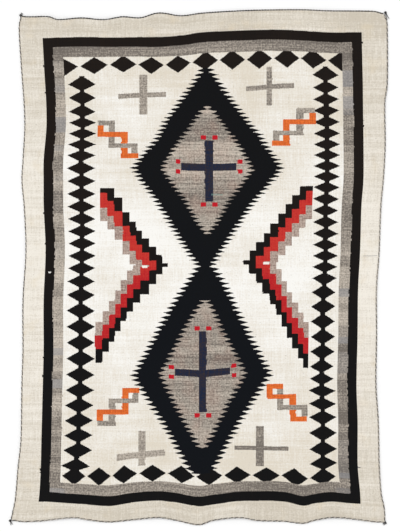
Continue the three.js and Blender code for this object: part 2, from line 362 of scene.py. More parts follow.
class WoolColours(bpy.types.PropertyGroup):
    """The dyed and undyed wools."""

    ivory: wool("Ivory", "The border's wool", 240, 234, 223)
    ivory_dark: wool("Dark ivory", "The border's yellower wool", 204, 195, 179)
    stain: wool("Stain", "The border's yellowed places", 222, 207, 180)
    cream: wool("Cream", "The field's wool", 247, 245, 240)
    cream_warm: wool("Warm cream", "The field's yellower wool", 222, 213, 197)
    black: wool("Black", "The black wool", 12, 12, 13)
    black_brown: wool("Brown black", "Its rustier streaks", 30, 22, 17)
    blue_black: wool("Blue black", "The serrated diamonds' overdyed wool", 8, 12, 18)
    taupe: wool("Taupe", "Pale carded grey", 206, 195, 181)
    taupe_dark: wool("Dark taupe", "Dark carded grey", 112, 105, 98)
    slate: wool("Slate", "The side bands' bluer skeins", 142, 142, 145)
    red: wool("Red", "The stepped arms' red", 196, 55, 46)
    red_dark: wool("Dark red", "Its darker dye lot", 180, 30, 37)
    crimson: wool("Crimson", "The small squares", 188, 24, 38)
    orange: wool("Orange", "The interlaced lines' orange", 232, 116, 52)
    orange_dark: wool("Dark orange", "Its darker dye lot", 198, 90, 40)
    navy: wool("Navy", "The large crosses", 26, 36, 60)
    navy_dark: wool("Dark navy", "Its purplish streaks", 52, 44, 46)
    teal: wool("Teal", "A few stray wefts", 118, 150, 142)
    charcoal: wool("Charcoal", "The cords' dark ply", 46, 42, 42)
    cord_cream: wool("Cord cream", "The cords' pale ply", 214, 204, 190)


# Nodes
class Link:
    """An output socket of a material's nodes."""

    def __init__(self, recipe, socket):
        self.recipe = recipe
        self.socket = socket


def adding_node(operation):
    """A method that puts a Math node on a value, and on what else it is given."""

    def method(self, *others):
        return self.math(operation, *others)

    return method


class Value(Link):
    """A number that varies over a surface. An expression on it adds the Math nodes it needs."""

    def math(self, operation, *others, clamp=False):
        settings = {"operation": operation, "use_clamp": clamp}
        return self.recipe.value("ShaderNodeMath", settings, (self, *others))

    __add__ = adding_node("ADD")
    __sub__ = adding_node("SUBTRACT")
    __mul__ = adding_node("MULTIPLY")
    __truediv__ = adding_node("DIVIDE")
    __mod__ = adding_node("FLOORED_MODULO")
    __lt__ = adding_node("LESS_THAN")
    __gt__ = adding_node("GREATER_THAN")
    __or__ = adding_node("MAXIMUM")
    __abs__ = adding_node("ABSOLUTE")
    __radd__ = __add__
    __rmul__ = __mul__
    floor = adding_node("FLOOR")
    round = adding_node("ROUND")
    root = adding_node("SQRT")
    least = adding_node("MINIMUM")
    # 1 where this is at most a reach away from a middle, and 0 elsewhere
    within = adding_node("COMPARE")

    def __rsub__(self, other):
        return self.recipe.value("ShaderNodeMath", {"operation": "SUBTRACT"}, (other, self))

    def clamped(self):
        return self.math("ADD", 0, clamp=True)

    def between(self, low, high):
        """1 from low to high, both plain numbers, and 0 elsewhere."""
        return self.within((low + high) / 2, (high - low) / 2)

    def ramp(self, start, finish):
        """0 before start, 1 after finish and a smooth rise between."""
        settings = {"interpolation_type": "SMOOTHSTEP"}
        return self.recipe.value("ShaderNodeMapRange", settings, (self, start, finish, 0, 1))


class Recipe:
    """One wool's material and the nodes that it is made of."""

    def __init__(self, name):
        self.material = bpy.data.materials.new(name)
        self.material.use_nodes = True
        self.tree = self.material.node_tree
        self.tree.nodes.clear()

    def node(self, kind, settings=None, inputs=()):
        """A node of this kind with its settings, and a value or link for each of its sockets."""
        made = self.tree.nodes.new(kind)
        for name, setting in (settings or {}).items():
            if name == "points":
                self.plot(made.mapping, setting)
            else:
                setattr(made, name, setting)
        pairs = inputs.items() if isinstance(inputs, dict) else enumerate(inputs)
        for place, given in pairs:
            socket = made.inputs[place]
            if isinstance(given, Link):
                self.tree.links.new(given.socket, socket)
            elif socket.type == "RGBA":
                socket.default_value = (*given[:3], 1)
            else:
                socket.default_value = given
        return made

    @staticmethod
    def plot(mapping, points):
        """Sets a curve node's points, joined by straight lines."""
        curve = mapping.curves[0]
        for _ in range(len(points) - 2):
            curve.points.new(0.5, 0.5)
        for point, place in zip(curve.points, points):
            point.location = place
            point.handle_type = "VECTOR"
        mapping.update()

    def value(self, kind, settings=None, inputs=(), output=0):
        return Value(self, self.node(kind, settings, inputs).outputs[output])

    def link(self, kind, settings=None, inputs=(), output=0):
        return Link(self, self.node(kind, settings, inputs).outputs[output])

    def mix(self, share, under, over):
        """The colour under, with a share of the colour over laid on it."""
        settings = {"data_type": "RGBA"}
        inputs = {0: share, 6: under, 7: over}
        return self.link("ShaderNodeMix", settings, inputs, output=2)

    def choose(self, mask, off, on):
        """The number off where the mask is 0, and on where it is 1."""
        return self.value("ShaderNodeMix", {"data_type": "FLOAT"}, {0: mask, 2: off, 3: on})

    def point(self, x, y, z=0):
        return self.link("ShaderNodeCombineXYZ", None, (x, y, z))

    def cloud(self, place, scale, detail=2):
        """Soft noise round 0, from about -0.5 to 0.5."""
        settings = {"noise_dimensions": "3D"}
        inputs = {"Vector": place, "Scale": scale, "Detail": detail}
        inputs["Roughness"] = CLOUD_ROUGHNESS
        return self.value("ShaderNodeTexNoise", settings, inputs) - 0.5

    def chart(self, value, rows, column):
        """A table's column looked up at a value of its first one, along straight lines."""
        rows = sorted(rows)
        first, last = rows[0][0], rows[-1][0]
        heights = [getattr(row, column) for row in rows]
        low = min(heights)
        high = max(heights)
        points = [
            ((row[0] - first) / (last - first), (height - low) / (high - low))
            for row, height in zip(rows, heights)
        ]
        share = ((value - first) / (last - first)).clamped()
        looked_up = self.value("ShaderNodeFloatCurve", {"points": points}, {1: share})
        return looked_up * (high - low) + low

    def finish(self, base, roughness, height, depth, sheen):
        """Joins the looks to a wool surface with a soft bump of this depth."""
        inputs = {"Strength": 1, "Distance": depth, "Height": height}
        normal = self.link("ShaderNodeBump", None, inputs)
        surface = self.link(
            "ShaderNodeBsdfPrincipled",
            None,
            {
                "Base Color": base,
                "Roughness": roughness,
                "Normal": normal,
                "Specular IOR Level": WOOL_SPECULAR,
                "Sheen Weight": sheen,
                "Sheen Roughness": WOOL_SHEEN_ROUGHNESS,
            },
        )
        self.node("ShaderNodeOutputMaterial", None, {"Surface": surface})
        return self.material


CLOUD_ROUGHNESS = 0.55
WOOL_SPECULAR = 0.12
WOOL_SHEEN_ROUGHNESS = 0.45


# The tapestry cloth's material

# Noise over the loom: how much it is squeezed across and up, its slice, its scale and its detail.
# Streaks run along the wefts, mottles have no direction, and the warps show through as faint
# ribs. No woven line is dead straight, because the weaver's hand lets each one drift.
Noise = namedtuple("Noise", "across up slice scale detail")
NOISES = {
    "abrash": Noise(0.7, 14, 0, 1.6, 1),
    "streak": Noise(1.6, 40, 0, 1.3, 3),
    "fine": Noise(6, 260, 0, 1, 2),
    "patch": Noise(1, 1, 0, 4.5, 3),
    "stain": Noise(1, 1, 4, 16, 2),
    "heather": Noise(1, 1, 0, 170, 3),
    "fleck": Noise(150, 320, 8, 1, 1),
    "rib": Noise(240, 14, 6, 1, 1),
    "drift": Noise(1, 1, 0, 9, 2),
    "fine_drift": Noise(1, 1, 0, 45, 2),
}
DRIFT = 5
FINE_DRIFT = 4
WANDER = 7
WANDER_SCALE = 7
WANDER_SLICE = 2.5

# The bands' skeins: one skein's height, how uneven that is, and where each noise is read
SKEIN_HEIGHT = 36
SKEIN_UNEVENNESS = 4
SKEIN_WAVE = 9
SKEIN_SLICE = 3
SkeinNoise = namedtuple("SkeinNoise", "skein side slice")
SKEIN_SHADE = SkeinNoise(0.73, 3.3, 7.7)
SKEIN_HUE = SkeinNoise(0.61, 5.3, 1.4)

# Slow changes over the cloth, by the place where each one starts and where it is full
MIDDLE_FADES = (60, 760)
RIM_YELLOWS = (780, 900)
RIGHT_DARKENS = (-200, 500)
TOP_RUSTS = (-500, 500)
TOP_BRIGHTENS = (-60, 40)
SIDE_BANDS = (470, 490)

# Flecks, stains, warm hearts and cool skeins, by the noise where each one starts and is full
FLECKS = (0.14, 0.3)
STAINS = (0.02, 0.3)
WARMTH = (-0.15, 0.25)
COOL_SKEINS = (0.02, 0.16)

# A yarn's shade is a paleness to start from and the weighed sum of what makes the yarn uneven
MIXES = {
    "mottle": (0, {"fine": 0.9, "heather": 1.3, "rib": 0.9}),
    "carded": (0, {"heather": 1.9, "fine": 1.1, "rib": 0.6, "abrash": 0.5}),
    "ivory": (
        0.4,
        {"streak": 1.1, "patch": 0.8, "mottle": 1, "middle": 0.5, "rim": -0.2, "right": -0.03},
    ),
    "cream": (
        0.27, {"streak": 0.8, "patch": 2, "mottle": 0.9, "middle": 0.55, "right": -0.14},
    ),
    "black": (0, {"rust": 0.7, "patch": 0.5, "mottle": 0.7}),
    "grey": (0, {"band": 1, "lot": 1.1, "abrash": 0.4, "right": -0.16}),
    "heart": (0.12, {"heart": 0.6, "fine": 0.5, "streak": 0.3}),
    "red": (0.15, {"mottle": 2, "streak": 0.5, "brightness": 0.7}),
    "crimson": (0.8, {"mottle": 1}),
    "orange": (0.55, {"mottle": 2, "streak": 0.5}),
    "navy": (0.6, {"streak": 0.8, "mottle": 2.5}),
}
FLECK_STRENGTH = 0.5
STAIN_STRENGTH = 0.4
COOL_STRENGTH = 0.55
WARM_STRENGTH = 0.08
RED_IN_ARM_GREY = 0.1
LINE_GREY_PALE = 0.34
ARM_GREY_PALE = 0.5


class Weave:
    """The pattern's place on the loom: which warp and weft a point of the surface lies in."""

    def __init__(self, recipe, sizes):
        loom = recipe.link("ShaderNodeUVMap", {"uv_map": "loom"})
        split = recipe.node("ShaderNodeSeparateXYZ", None, (loom,))
        metres_across = Value(recipe, split.outputs[0])
        metres_up = Value(recipe, split.outputs[1])
        across = metres_across / MM
        up = metres_up / MM
        warp = sizes.warp_spacing / MM
        weft = sizes.weft_rise / MM
        column = (across / warp).floor()
        # Every second warp's beads stand half a weft higher, as wefts go over and under
        odd = column % 2
        row = up / weft + odd * 0.5
        row_number = row.floor()
        self.bead_across = across / warp - column - 0.5
        self.bead_up = row - row_number - 0.5
        square_across = (column + 0.5) * warp
        self.square_up = (row_number + 0.5 - odd * 0.5) * weft
        self.noises = {}
        for name, grain in NOISES.items():
            place = recipe.point(metres_across * grain.across, metres_up * grain.up, grain.slice)
            self.noises[name] = recipe.cloud(place, grain.scale, grain.detail)
        drift = self.noises["drift"] * DRIFT + self.noises["fine_drift"] * FINE_DRIFT
        wander = recipe.cloud(recipe.point(metres_up, metres_across, WANDER_SLICE), WANDER_SCALE)
        self.across = square_across + drift
        self.up = self.square_up + wander * WANDER
        side = square_across > 0
        uneven = recipe.cloud(recipe.point(side, metres_up * SKEIN_WAVE, SKEIN_SLICE), 1, 1)
        skein = (self.square_up / SKEIN_HEIGHT + uneven * SKEIN_UNEVENNESS).floor()
        self.skein_shade, self.skein_hue = (
            recipe.cloud(recipe.point(skein * row.skein, side * row.side, row.slice), 1, 1)
            for row in (SKEIN_SHADE, SKEIN_HUE)
        )

    def lies_in(self, left, right, low, high):
        """1 inside an upright rectangle, given in millimetres."""
        return self.across.between(left, right) * self.up.between(low, high)

    def bead_height(self):
        """A bead's rounded top: 1 along its middle and 0 in the grooves round it."""
        rib = 1 - self.bead_across * self.bead_across * 4
        bead = 1 - self.bead_up * self.bead_up * 4
        return rib.root() * (bead * BEAD_ROUNDNESS + (1 - BEAD_ROUNDNESS))


BEAD_ROUNDNESS = 0.3


class Wools:
    """The colours of the yarns, uneven as carded and dyed by hand."""

    def __init__(self, recipe, weave, colours):
        self.recipe = recipe
        self.colours = colours
        from_middle = abs(weave.up)
        sides = abs(weave.across).ramp(*SIDE_BANDS)
        self.fields = {
            **weave.noises,
            "middle": 1 - from_middle.ramp(*MIDDLE_FADES),
            "rim": from_middle.ramp(*RIM_YELLOWS),
            "right": weave.across.ramp(*RIGHT_DARKENS),
            "rust": weave.up.ramp(*TOP_RUSTS),
            "brightness": weave.up.ramp(*TOP_BRIGHTENS),
            "band": recipe.chart(weave.square_up, BAND_SHADES, "pale"),
            "heart": recipe.chart(weave.square_up, HEART_SHADES, "pale"),
            "lot": weave.skein_shade * sides,
        }
        self.fields["mottle"] = self.weighed("mottle")
        self.carded = self.weighed("carded")
        stained = weave.noises["stain"].ramp(*STAINS) * STAIN_STRENGTH
        warmth = weave.noises["stain"].ramp(*WARMTH) * WARM_STRENGTH
        cool = weave.skein_hue.ramp(*COOL_SKEINS) * sides * COOL_STRENGTH
        ivory = self.blend("ivory", colours.ivory_dark, colours.ivory)
        self.ivory = self.flecked(recipe.mix(stained, ivory, colours.stain))
        self.cream = self.flecked(self.blend("cream", colours.cream_warm, colours.cream))
        self.black = self.blend("black", colours.black, colours.black_brown)
        self.blue_black = self.blend("black", colours.blue_black, colours.black)
        self.grey = recipe.mix(cool, self.grey_wool(self.weighed("grey")), colours.slate)
        self.line_grey = self.grey_wool(LINE_GREY_PALE)
        self.arm_grey = recipe.mix(RED_IN_ARM_GREY, self.grey_wool(ARM_GREY_PALE), colours.red)
        heart = self.grey_wool(self.weighed("heart"))
        self.heart = recipe.mix(warmth, heart, colours.orange_dark)
        self.red = self.blend("red", colours.red_dark, colours.red)
        self.crimson = self.blend("crimson", colours.red_dark, colours.crimson)
        self.orange = self.blend("orange", colours.orange_dark, colours.orange)
        self.navy = self.blend("navy", colours.navy_dark, colours.navy)

    def weighed(self, name):
        """A mix's fields, added up by their weights."""
        total, weights = MIXES[name]
        for field, weight in weights.items():
            total = self.fields[field] * weight + total
        return total

    def blend(self, name, dark, light):
        """A mix's share of the second colour over the first one."""
        return self.recipe.mix(self.weighed(name).clamped(), dark, light)

    def flecked(self, wool_colour):
        """A pale wool with dark hairs carded into it."""
        flecks = self.fields["fleck"].ramp(*FLECKS) * FLECK_STRENGTH
        return self.recipe.mix(flecks, wool_colour, self.colours.taupe_dark)

    def grey_wool(self, pale):
        """Carded grey wool of this paleness, from 0 to 1."""
        share = (self.carded + pale).clamped()
        return self.recipe.mix(share, self.colours.taupe_dark, self.colours.taupe)


def by_corner(recipe, right, low, rows, column=None):
    """What a table holds by corner, or one column of it, as one number over the whole cloth."""
    held = {corner: getattr(row, column) if column else row for corner, row in rows.items()}
    upper = recipe.choose(right, held[TOP_LEFT], held[TOP_RIGHT])
    lower = recipe.choose(right, held[BOTTOM_LEFT], held[BOTTOM_RIGHT])
    return recipe.choose(low, upper, lower)


def bands(recipe, weave, pattern, wools):
    """The ivory border, the black and grey bands inside it and the cream field."""
    side, top, bottom = pattern.band_side, pattern.band_top, pattern.band_bottom
    surface = wools.ivory
    widths = (0, pattern.black_width, pattern.grey_width)
    for width, wool_inside in zip(widths, (wools.black, wools.grey, wools.cream)):
        side -= width
        top -= width
        bottom -= width
        inside = weave.lies_in(-side, side, -bottom, top)
        surface = recipe.mix(inside, surface, wool_inside)
    return surface, inside


def chain(recipe, weave, half, neck, rows):
    """A column of diamonds joined by necks."""
    counted = recipe.chart(weave.up, rows, "diamonds")
    aside = abs(weave.across - recipe.chart(weave.up, rows, "middle"))
    from_middle = abs(counted - counted.round()) * 2
    width = (half - from_middle * (half - neck) / CHAIN_NECK_AT) | neck
    return (aside < width) * weave.up.between(rows[-1].at, rows[0].at)


CHAIN_NECK_AT = 0.86


def diamond_row(recipe, weave, half_height, rows):
    """A row of diamonds that stand apart."""
    counted = recipe.chart(weave.across, rows, "diamonds")
    off_line = abs(weave.up - recipe.chart(weave.across, rows, "middle"))
    sideways = abs(counted - counted.round()) * ROW_DIAMOND_SHARE
    return sideways + off_line / half_height < 1


ROW_DIAMOND_SHARE = 2.13


def serrations(recipe, weave, pattern):
    """The two black serrated diamonds and their grey hearts."""
    upper = weave.up > DIAMOND_WAIST
    turns = recipe.choose(
        upper, weave.up / pattern.lower_tooth_pitch, weave.up / pattern.upper_tooth_pitch
    )
    notch = abs((turns % 1) * 2 - 1)
    aside = abs(weave.across - recipe.chart(weave.up, DIAMOND_MIDDLES, "across"))
    outline = recipe.chart(weave.up, BLACK_DIAMONDS, "half")
    outline = outline - notch * pattern.tooth_length
    black = (aside < outline) * weave.up.between(BLACK_DIAMONDS[0].at, BLACK_DIAMONDS[-1].at)
    aside = abs(weave.across - recipe.chart(weave.up, HEART_MIDDLES, "across"))
    outline = recipe.chart(weave.up, GREY_HEARTS, "half")
    outline = outline - (1 - notch) * pattern.inner_tooth_length
    parts = weave.up.between(*LOWER_HEART) | weave.up.between(*UPPER_HEART)
    return black, (aside < outline) * parts


DIAMOND_WAIST = 5
LOWER_HEART = (-650, -122)
UPPER_HEART = (119, 576)


def off_crossbar(weave, row):
    """How far above the middle line of a cross's crossbar the weave lies."""
    across = weave.across - row.across
    return weave.up - row.up - across * row.climb - abs(across) * row.bend


def cross(weave, row):
    """An upright bar with a crossbar."""
    across = weave.across - row.across
    up = weave.up - row.up
    upright = across.within(0, row.upright) * up.between(-row.under, row.over)
    crossbar = off_crossbar(weave, row).within(0, row.bar) * across.between(-row.left, row.right)
    return upright | crossbar


def dots(weave, row):
    """Pairs of small squares off the four ends of a cross."""
    across = weave.across - row.across
    up = weave.up - row.up
    beside = abs(across)
    ends = up.between(row.over + DOT_GAP, row.over + DOT_GAP + DOT_HEIGHT)
    ends = ends | up.between(-row.under - DOT_GAP - DOT_HEIGHT, -row.under - DOT_GAP)
    ends = ends * beside.between(DOT_INSET, DOT_INSET + DOT_WIDTH)
    reach = (row.left + row.right) / 2
    sides = beside.between(reach + DOT_GAP, reach + DOT_GAP + DOT_WIDTH)
    off_line = abs(off_crossbar(weave, row))
    sides = sides * off_line.between(DOT_OFF_LINE, DOT_OFF_LINE + DOT_HEIGHT)
    return ends | sides


DOT_GAP = 3
DOT_INSET = 12
DOT_OFF_LINE = 10
DOT_WIDTH = 18
DOT_HEIGHT = 15


def stepped_arms(recipe, weave, wools, surface):
    """The stepped arms that open out from two points beside the diamonds' waist."""
    right = weave.across > ARM_PARTING
    above = weave.up - recipe.choose(right, LEFT_TIP.up, RIGHT_TIP.up)
    low = above < 0
    left_arm = LEFT_TIP.across - weave.across
    along_arm = recipe.choose(right, left_arm, weave.across - RIGHT_TIP.across)
    heights = {
        corner: recipe.chart(along_arm, staircase(arm), "height")
        for corner, arm in STEPPED_ARMS.items()
    }
    height = by_corner(recipe, right, low, heights)
    size = {name: by_corner(recipe, right, low, STEPPED_ARMS, name) for name in Arm._fields[1:]}
    in_reach = (along_arm > 0) * (along_arm < size["end"])
    for wool, layer in ((wools.black, "black"), (wools.red, "red"), (wools.arm_grey, "grey")):
        mask = in_reach * (abs(above) < height.least(size["top"]))
        surface = recipe.mix(mask, surface, wool)
        height = height - size[layer]
    surface = recipe.mix(in_reach * (abs(above) < height), surface, wools.cream)
    notch_up = recipe.choose(right, LEFT_NOTCH.up, RIGHT_NOTCH.up)
    notch = along_arm.within(LEFT_NOTCH.across, NOTCH_HALF.across)
    notch = notch * (abs(above - notch_up) < NOTCH_HALF.up)
    return recipe.mix(notch, surface, wools.cream)


ARM_PARTING = 15
LEFT_TIP = Place(-122.4, 5.5)
RIGHT_TIP = Place(149.6, 15)
LEFT_NOTCH = Place(82, -6)
RIGHT_NOTCH = Place(84, -3)
NOTCH_HALF = Place(9.5, 4.2)


def staircase(arm):
    """The arm's steps as a table with an upright jump where each one starts."""
    rows = [arm.steps[0]]
    for before, step in zip(arm.steps, arm.steps[1:]):
        rows.append(Step(step.start - STEP_JUMP, before.height))
        rows.append(Step(step.start + STEP_JUMP, step.height))
    return (*rows, Step(arm.end, arm.steps[-1].height))


STEP_JUMP = 0.2


def interlaced_lines(recipe, weave, wools, surface):
    """A bright and a pale stepped line that pass over and under each other, once in each quarter
    of the field. In the bottom right quarter the two wools change places."""
    right = weave.across > 0
    low = weave.up < 0
    inwards = by_corner(recipe, right, low, INTERLACED, "across") - abs(weave.across)
    nearer = by_corner(recipe, right, low, INTERLACED, "up") - abs(weave.up)

    def bar(row):
        return inwards.between(row.outer, row.inner) * nearer.between(row.far, row.near)

    on_top = bar(PALE_BAR_ON_TOP)
    end = bar(BRIGHT_END_BAR)
    bright = end
    for row in BRIGHT_BARS:
        bright = bright | bar(row)
    bright = bright * (1 - on_top)
    pale = on_top
    for row in PALE_BARS:
        pale = pale | bar(row)
    pale = pale * (1 - bright)
    changed = right * low
    orange = recipe.choose(changed, bright, pale | end)
    grey = recipe.choose(changed, pale, bright * (1 - end))
    surface = recipe.mix(grey, surface, wools.line_grey)
    return recipe.mix(orange, surface, wools.orange)


def tapestry_wool(sizes, pattern, colours):
    """The weft-faced cloth's material, which weaves the whole pattern bead by bead."""
    recipe = Recipe("tapestry_wool")
    weave = Weave(recipe, sizes)
    wools = Wools(recipe, weave, colours)
    pattern = in_millimetres(pattern)
    surface, field = bands(recipe, weave, pattern, wools)
    half, neck = pattern.chain_half, pattern.chain_neck
    right_half = half - weave.up.ramp(*CHAIN_SLIMS) * pattern.chain_slimming
    black = chain(recipe, weave, half, neck, LEFT_CHAIN)
    black = black | chain(recipe, weave, right_half, neck, RIGHT_CHAIN)
    upper = weave.up > 0
    half_height = pattern.row_half_height
    black = black | diamond_row(recipe, weave, half_height, TOP_ROW) * upper
    black = black | diamond_row(recipe, weave, half_height, BOTTOM_ROW) * (1 - upper)
    surface = recipe.mix(black * field, surface, wools.black)
    for row in GREY_CROSSES:
        surface = recipe.mix(cross(weave, row), surface, wools.grey_wool(row.pale))
    surface = stepped_arms(recipe, weave, wools, surface)
    surface = interlaced_lines(recipe, weave, wools, surface)
    diamonds, hearts = serrations(recipe, weave, pattern)
    surface = recipe.mix(diamonds, surface, wools.blue_black)
    surface = recipe.mix(hearts, surface, wools.heart)
    for row in NAVY_CROSSES:
        surface = recipe.mix(cross(weave, row), surface, wools.navy)
        surface = recipe.mix(dots(weave, row), surface, wools.crimson)
    for row in MARKS:
        mask = weave.lies_in(
            row.across - row.long, row.across + row.long, row.up - row.tall, row.up + row.tall
        )
        surface = recipe.mix(mask * row.strength, surface, getattr(colours, row.tone))
    height = weave.bead_height()
    # Painted shade: the grooves between the beads are darkened towards the black wool, as shade
    # falls in them
    groove_shade = (1 - height) * GROOVE_PAINTED_SHADE
    surface = recipe.mix(groove_shade, surface, colours.black)
    heather = weave.noises["heather"]
    roughness = CLOTH_ROUGHNESS + heather * ROUGHNESS_SPREAD
    fuzz = height + heather * FUZZ
    return recipe.finish(surface, roughness, fuzz, BEAD_DEPTH, CLOTH_SHEEN)


CHAIN_SLIMS = (-440, -400)
CLOTH_ROUGHNESS = 0.88
ROUGHNESS_SPREAD = 0.15
FUZZ = 0.5
# How strong the painted shade in the grooves between the beads is
GROOVE_PAINTED_SHADE = 0.16
BEAD_DEPTH = 0.0004
CLOTH_SHEEN = 0.03


# The cords' and knots' materials
def twined_wool(name, colours, dark_only):
    """Plied yarn: the strand map runs along the ply and round it, one whole number a ply."""
    recipe = Recipe(name)
    strand = recipe.link("ShaderNodeUVMap", {"uv_map": "strand"})
    split = recipe.node("ShaderNodeSeparateXYZ", None, (strand,))
    along_ply = Value(recipe, split.outputs[0])
    around = Value(recipe, split.outputs[1])
    depth = recipe.value("ShaderNodeAttribute", {"attribute_name": "dark"}, output=2)
    lay = ((around % 1) * FIBRES_ROUND + along_ply * FIBRES_ALONG) % 1
    fibre = 1 - abs(lay * 2 - 1)
    fleck = recipe.cloud(recipe.point(along_ply * FLECKS_ALONG, around * FLECKS_ROUND), 1, 3)
    slub = recipe.cloud(recipe.point(along_ply * SLUBS_ALONG, around.floor() * SLUB_SLICE), 1, 2)
    dark_share = depth + slub * SLUB_DARKENS + fleck * FLECK_DARKENS
    if dark_only:
        pale_share = DARK_PLY.clean - dark_share * DARK_PLY.lost
    else:
        first, second = (ply.clean - dark_share * ply.lost for ply in (FIRST_PLY, SECOND_PLY))
        pale_share = recipe.choose(around > 1, first, second)
    pale_share = (pale_share + fleck * FLECK_PALES).clamped()
    surface = recipe.mix(pale_share, colours.charcoal, colours.cord_cream)
    # Painted shade: the grooves between the fibres are darkened towards the black wool, as shade
    # falls in them
    surface = recipe.mix((1 - fibre) * FIBRE_GROOVE_SHADE, surface, colours.black)
    roughness = YARN_ROUGHNESS + fleck * YARN_ROUGHNESS_SPREAD
    return recipe.finish(surface, roughness, fibre + fleck * FUZZ, FIBRE_DEPTH, YARN_SHEEN)


FIBRES_ROUND = 7
FIBRES_ALONG = 900
FLECKS_ROUND = 3
FLECKS_ALONG = 300
SLUBS_ALONG = 20
SLUB_SLICE = 5
SLUB_DARKENS = 0.6
FLECK_DARKENS = 0.5
FLECK_PALES = 0.4
# How strong the painted shade between the fibres is
FIBRE_GROOVE_SHADE = 0.3
FIBRE_DEPTH = 0.00015
YARN_ROUGHNESS = 0.9
YARN_ROUGHNESS_SPREAD = 0.1
YARN_SHEEN = 0.1

# How pale a ply is where the cord is clean, and what it loses where the cord is darkest
Ply = namedtuple("Ply", "clean lost")
FIRST_PLY = Ply(0.6, 1.2)
SECOND_PLY = Ply(1.35, 0.55)
DARK_PLY = Ply(0.45, 0.45)


# Meshes
def along(rows, column, at):
    """A column's value anywhere along the edge, on a smooth curve through its rows."""
    i = 0
    while i < len(rows) - 2 and rows[i + 1].at < at:
        i += 1
    before, after = rows[i], rows[i + 1]
    span = after.at - before.at
    t = min(max((at - before.at) / span, 0), 1)
    rise = t * t * (3 - 2 * t)
    leaving = slope_at(rows, column, i) * t * (1 - t) ** 2
    arriving = slope_at(rows, column, i + 1) * t * t * (1 - t)
    start = getattr(before, column)
    return start + (getattr(after, column) - start) * rise + (leaving - arriving) * span


def slope_at(rows, column, i):
    """The slope of a column at a row, from the rows on both sides of it."""
    before = rows[max(i - 1, 0)]
    after = rows[min(i + 1, len(rows) - 1)]
    return (getattr(after, column) - getattr(before, column)) / (after.at - before.at)


def direction(first, second, angle):
    """The direction at this angle from the first one round towards the second one."""
    return first * math.cos(angle) + second * math.sin(angle)


def fade(distance, depth):
    """1 at an edge, falling smoothly to 0 at a depth into the cloth."""
    t = min(max(distance / depth, 0), 1)
    return 1 - t * t * (3 - 2 * t)


def strayed(rows, at, depth, border, pull_depth):
    """How far the weave has strayed outwards at a depth from an edge: by the edge's own amount
    there, by the band's amount where the border ends, and less and less past that."""
    band = along(rows, "band", at)
    if depth < border:
        edge = along(rows, "out", at)
        return edge + (band - edge) * depth / border
    return band * fade(depth - border, pull_depth - border)


def lay_down(across, up, half_width, half_length):
    """Where a place on the square cloth comes to lie, in millimetres, at the underside."""
    x, y, z = across, up, 0
    for side, rows in ((-1, LEFT_SIDE), (1, RIGHT_SIDE)):
        depth = half_width - side * across
        x += side * strayed(rows, up, depth, SIDE_BORDER, SIDE_PULL_DEPTH)
        z += along(rows, "lift", up) * fade(depth, SIDE_RIPPLE_DEPTH)
    for end, rows, border in ((-1, BOTTOM_END, BOTTOM_BORDER), (1, TOP_END, TOP_BORDER)):
        depth = half_length - end * up
        y += end * strayed(rows, across, depth, border, END_PULL_DEPTH)
        z += along(rows, "lift", across) * fade(depth, END_RIPPLE_DEPTH)
    for corner in CORNERS:
        to_corner = math.hypot(corner.side * half_width - across, corner.end * half_length - up)
        pull = corner.drawn_in * math.sqrt(0.5) * fade(to_corner, CORNER_DEPTH)
        x -= corner.side * pull
        y -= corner.end * pull
    return Vector((x, y, max(z, 0)))


def placed(name, held):
    """A new object in the scene that holds a mesh, a lens or a lamp."""
    made = bpy.data.objects.new(name, held)
    bpy.context.scene.collection.objects.link(made)
    return made


def finished(name, bm, material):
    """A smooth-shaded object of this mesh, at the origin."""
    mesh = bpy.data.meshes.new(name)
    bm.to_mesh(mesh)
    bm.free()
    for face in mesh.polygons:
        face.use_smooth = True
    mesh.materials.append(material)
    return placed(name, mesh)


def join_blanket(piece, node, slot):
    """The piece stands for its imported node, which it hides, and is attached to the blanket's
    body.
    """
    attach(piece, BODY)
    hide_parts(node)


def yarn_mesh():
    """An empty mesh, its strand map and its layer for how dark the yarn is."""
    bm = bmesh.new()
    return bm, bm.loops.layers.uv.new("strand"), bm.verts.layers.float.new("dark")


def rolled_tube(yarn, sides, place, run, depths, ply=0):
    """A tube rolled from a flat grid, with a ring for each length along it in run. place gives
    the point for a ring and a share round it, and depths how dark each ring is."""
    bm, strand, dark = yarn
    rings = len(run) - 1
    verts = bmesh.ops.create_grid(bm, x_segments=rings, y_segments=sides, size=0.5)["verts"]
    spots = {vert: (round((vert.co.x + 0.5) * rings), vert.co.y + 0.5) for vert in verts}
    for face in {face for vert in verts for face in vert.link_faces}:
        for loop in face.loops:
            ring, share = spots[loop.vert]
            loop[strand].uv = (run[ring], ply + SEAM_MARGIN + share * (1 - 2 * SEAM_MARGIN))
    for vert, (ring, share) in spots.items():
        vert[dark] = depths[ring]
        vert.co = place(ring, share if share < 1 - SEAM_WIDTH else 0)
    seam = [vert for vert in verts if not SEAM_WIDTH < spots[vert][1] < 1 - SEAM_WIDTH]
    bmesh.ops.remove_doubles(bm, verts=seam, dist=WELD_REACH)
    kept = [vert for vert in verts if vert.is_valid]
    rims = {edge for vert in kept for edge in vert.link_edges if edge.is_boundary}
    bmesh.ops.holes_fill(bm, edges=list(rims), sides=0)


SEAM_MARGIN = 0.001
SEAM_WIDTH = 1e-6
WELD_REACH = 1e-7


